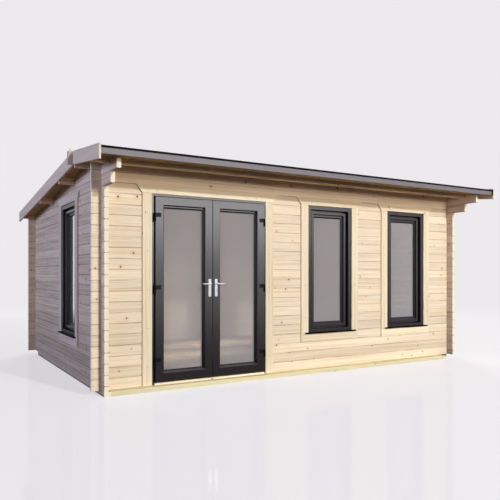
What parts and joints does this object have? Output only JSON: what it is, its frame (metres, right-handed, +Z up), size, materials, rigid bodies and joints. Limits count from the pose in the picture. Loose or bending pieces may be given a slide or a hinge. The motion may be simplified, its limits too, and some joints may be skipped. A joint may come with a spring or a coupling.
{
  "type": "garden office pod",
  "caption": "Log-built garden office pod with a low offset-apex roof, glazed double doors and tall side-hung windows",
  "frame": {"origin": "on the ground, at the middle of the overall width and depth", "axes": "+X along the front towards its right end, -Y out of the front wall, +Z up"},
  "size_m": [5.644, 4.368, 2.5322],
  "materials": {
    "log_timber": "planed untreated softwood logs, pale and satin-dry",
    "board_timber": "planed untreated softwood boards",
    "beam_timber": "planed untreated softwood beams",
    "treated_timber": "pressure-treated softwood, greenish",
    "deck_timber": "planed tongued floor boards",
    "soffit_timber": "tongued roof boards, untreated",
    "insulation": "rigid foam board",
    "membrane": "black roofing membrane with turned-down edges",
    "barge_timber": "planed pale softwood boards",
    "grey_fascia": "grey stained planed boards",
    "anthracite": "anthracite foiled profile, satin",
    "black_sill": "black sill profile",
    "glazing": "clear sealed double glazing",
    "hinge_metal": "black painted hinges",
    "handle_metal": "polished levers on long plates"
  },
  "bodies": {
    "cabin": {"door_head": "anthracite", "door_jamb_left": "anthracite", "door_jamb_right": "anthracite", "door_threshold": "board_timber", "door_trim": "board_timber", "eave_purlin": "beam_timber", "floor_deck": "deck_timber", "floor_joists": "treated_timber", "front_bearer": "treated_timber", "front_fascia": "grey_fascia", "front_wall_head": "log_timber", "front_wall_left": "log_timber", "front_wall_right": "log_timber", "front_window_trim": "board_timber", "gable_finials": "barge_timber", "hinge_frame_halves": "hinge_metal", "left_bargeboard_front": "barge_timber", "left_bargeboard_rear": "barge_timber", "left_bearer": "treated_timber", "left_wall": "log_timber", "left_window_trim": "board_timber", "rear_bearer": "treated_timber", "rear_fascia": "grey_fascia", "rear_purlins": "beam_timber", "rear_wall": "log_timber", "ridge_purlin": "beam_timber", "right_bargeboard_front": "barge_timber", "right_bargeboard_rear": "barge_timber", "right_bearer": "treated_timber", "right_wall": "log_timber", "roof_boards_front": "soffit_timber", "roof_boards_rear": "soffit_timber", "roof_membrane": "membrane", "roof_panels_front": "insulation", "roof_panels_rear": "insulation", "window_frames": "anthracite", "window_panes": "glazing", "window_sashes": "anthracite", "window_sills": "black_sill"},
    "left_leaf": {"left_door_leaf": "anthracite", "left_door_glass": "glazing", "left_door_hinges": "hinge_metal", "left_handle_plate": "handle_metal"},
    "left_lever": {"left_door_lever": "handle_metal"},
    "right_leaf": {"right_door_leaf": "anthracite", "right_door_glass": "glazing", "right_door_hinges": "hinge_metal", "right_handle_plate": "handle_metal"},
    "right_lever": {"right_door_lever": "handle_metal"}
  },
  "joints": [
    {"name": "left_door_hinge", "type": "hinge", "parent": "cabin", "child": "left_leaf", "pos_m": [-2.011, -1.613, 1], "axis": [0, 0, -1], "range_deg": [0, 90]},
    {"name": "right_door_hinge", "type": "hinge", "parent": "cabin", "child": "right_leaf", "pos_m": [-0.656, -1.613, 1], "axis": [0, 0, 1], "range_deg": [0, 90]},
    {"name": "left_lever_turn", "type": "hinge", "parent": "left_leaf", "child": "left_lever", "pos_m": [-1.3725, -1.623, 1.114], "axis": [0, -1, 0], "range_deg": [0, 40], "stiffness_Nm_per_rad": 1.5, "springref_deg": -20.05},
    {"name": "right_lever_turn", "type": "hinge", "parent": "right_leaf", "child": "right_lever", "pos_m": [-1.2945, -1.623, 1.114], "axis": [0, 1, 0], "range_deg": [0, 40], "stiffness_Nm_per_rad": 1.5, "springref_deg": -20.05}
  ]
}
